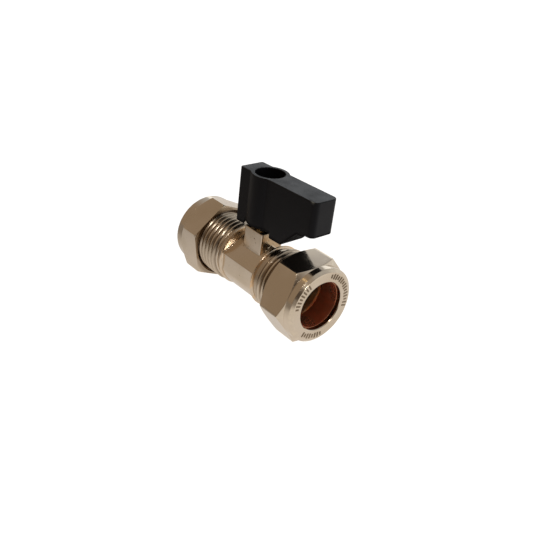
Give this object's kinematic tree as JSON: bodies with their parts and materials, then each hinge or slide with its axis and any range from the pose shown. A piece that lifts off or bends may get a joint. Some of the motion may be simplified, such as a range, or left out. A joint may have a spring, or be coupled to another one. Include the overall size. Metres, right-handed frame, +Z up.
{
  "type": "isolating ball valve",
  "caption": "Straight quarter-turn isolating ball valve with a black lever handle and compression nuts with olives for 15 mm pipe.",
  "frame": {"origin": "on the pipe axis where the front pipe comes to its stop inside the body", "axes": "+X along the pipe out of the front nut, +Z up the stem towards the handle, +Y completes the right-handed frame"},
  "size_m": [0.0597, 0.0276, 0.0445],
  "materials": {
    "plated_brass": "bright nickel plating with a warm tone",
    "brass": "machined",
    "copper": "drawn copper",
    "ptfe": "matt white",
    "chrome": "polished",
    "seal_rubber": "matt",
    "black_plastic": "fine satin moulding",
    "zinc_steel": "zinc plated"
  },
  "bodies": {
    "valve": {"valve_body": "plated_brass", "seat_front": "ptfe", "seat_rear": "ptfe", "seat_retainer": "brass"},
    "ball": {"ball": "chrome"},
    "spindle": {"stem": "brass", "thrust_washer": "ptfe", "stem_ring_lower": "seal_rubber", "stem_ring_upper": "seal_rubber", "handle": "black_plastic", "screw_washer": "zinc_steel", "handle_screw": "zinc_steel"},
    "olive_front": {"olive_front": "copper"},
    "nut_front": {"nut_front": "plated_brass"},
    "olive_rear": {"olive_rear": "copper"},
    "nut_rear": {"nut_rear": "plated_brass"}
  },
  "joints": [
    {"name": "handle_turn", "type": "hinge", "parent": "valve", "child": "spindle", "pos_m": [-0.0086, 0, 0], "axis": [0, 0, 1], "range_deg": [-90, 0]},
    {"name": "ball_turn", "type": "hinge", "parent": "valve", "child": "ball", "pos_m": [-0.0086, 0, 0], "axis": [0, 0, 1], "range_deg": [-90, 0]},
    {"name": "olive_front_slide", "type": "slide", "parent": "valve", "child": "olive_front", "axis": [1, 0, 0], "range_m": [0, 0.005]},
    {"name": "nut_front_turn", "type": "hinge", "parent": "olive_front", "child": "nut_front", "pos_m": [0, 0, 0], "axis": [1, 0, 0], "range_deg": [0, 990]},
    {"name": "olive_rear_slide", "type": "slide", "parent": "valve", "child": "olive_rear", "axis": [-1, 0, 0], "range_m": [-0.0015, 0.003]},
    {"name": "nut_rear_turn", "type": "hinge", "parent": "olive_rear", "child": "nut_rear", "pos_m": [-0.0172, 0, 0], "axis": [-1, 0, 0], "range_deg": [-297, 590]}
  ],
  "couplings": [
    {"joint": "ball_turn", "follows": "handle_turn", "ratio": 1},
    {"joint": "olive_front_slide", "follows": "nut_front_turn", "m_per_rad": 0.00028871},
    {"joint": "olive_rear_slide", "follows": "nut_rear_turn", "m_per_rad": 0.00028871}
  ]
}
